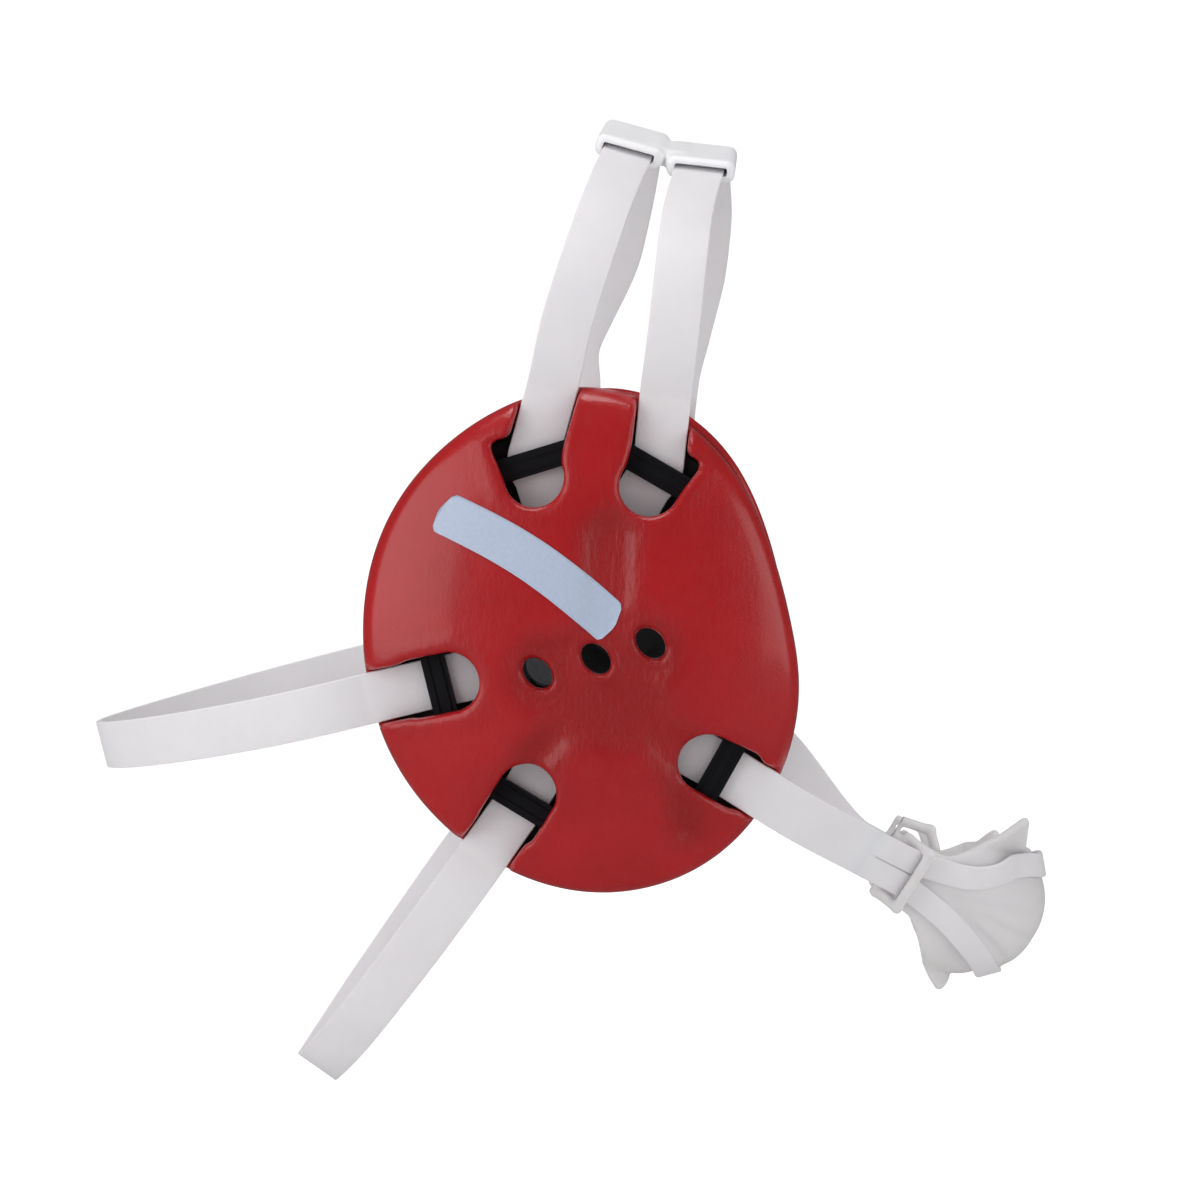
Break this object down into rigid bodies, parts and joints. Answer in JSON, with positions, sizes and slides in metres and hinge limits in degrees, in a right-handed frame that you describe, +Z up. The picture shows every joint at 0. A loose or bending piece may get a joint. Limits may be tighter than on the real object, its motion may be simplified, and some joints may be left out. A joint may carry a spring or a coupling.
{
  "type": "wrestling headgear",
  "caption": "Wrestling headgear with padded ear cups, head straps joined by a clip, and a slit chin strap holding a soft chin cup.",
  "frame": {"origin": "midway between the ear cups, on the line through their middle hearing holes", "axes": "+X to the wearer's front, +Y to the wearer's left, +Z up"},
  "size_m": [0.3018, 0.188, 0.3065],
  "materials": {
    "cover_red": "glossy skinned foam",
    "shell_black": "satin moulded",
    "pad_foam": "soft closed-cell foam",
    "buckle_black": "satin moulded",
    "strap_white": "smooth coated webbing",
    "clip_white": "satin moulded",
    "chin_rubber": "soft moulded"
  },
  "bodies": {
    "ear_cups": {"right_outer_cover": "cover_red", "right_shell": "shell_black", "right_ear_pad": "pad_foam", "left_outer_cover": "cover_red", "left_shell": "shell_black", "left_ear_pad": "pad_foam", "right_crown_buckle": "buckle_black", "right_forehead_buckle": "buckle_black", "right_upper_back_buckle": "buckle_black", "right_lower_back_buckle": "buckle_black", "right_chin_buckle": "buckle_black", "left_crown_buckle": "buckle_black", "left_forehead_buckle": "buckle_black", "left_upper_back_buckle": "buckle_black", "left_lower_back_buckle": "buckle_black", "left_chin_buckle": "buckle_black"},
    "crown": {"crown_strap": "strap_white"},
    "forehead": {"forehead_strap": "strap_white"},
    "clip": {"strap_clip": "clip_white"},
    "upper_back": {"upper_back_strap": "strap_white"},
    "lower_back": {"lower_back_strap": "strap_white"},
    "chin": {"chin_strap": "strap_white", "chin_cup": "chin_rubber"}
  },
  "joints": [
    {"name": "crown_adjust", "type": "slide", "parent": "ear_cups", "child": "crown", "axis": [0.1848, 0, 0.9828], "range_m": [-0.005, 0.005], "stiffness_N_per_m": 400},
    {"name": "forehead_adjust", "type": "slide", "parent": "ear_cups", "child": "forehead", "axis": [0.1848, 0, 0.9828], "range_m": [-0.005, 0.005], "stiffness_N_per_m": 400},
    {"name": "clip_travel", "type": "hinge", "parent": "crown", "child": "clip", "pos_m": [0.0038, 0, 0.078], "axis": [0.9828, 0, -0.1848], "range_deg": [-36, 7], "stiffness_Nm_per_rad": 0.1},
    {"name": "upper_back_adjust", "type": "slide", "parent": "ear_cups", "child": "upper_back", "axis": [-0.9715, 0, -0.2368], "range_m": [-0.008, 0.01], "stiffness_N_per_m": 400},
    {"name": "lower_back_adjust", "type": "slide", "parent": "ear_cups", "child": "lower_back", "axis": [-0.5736, 0, -0.8192], "range_m": [-0.008, 0.01], "stiffness_N_per_m": 400},
    {"name": "chin_adjust", "type": "slide", "parent": "ear_cups", "child": "chin", "axis": [0.848, 0, -0.5299], "range_m": [-0.008, 0.01], "stiffness_N_per_m": 400}
  ],
  "couplings": [
    {"joint": "forehead_adjust", "follows": "crown_adjust", "ratio": 1}
  ]
}
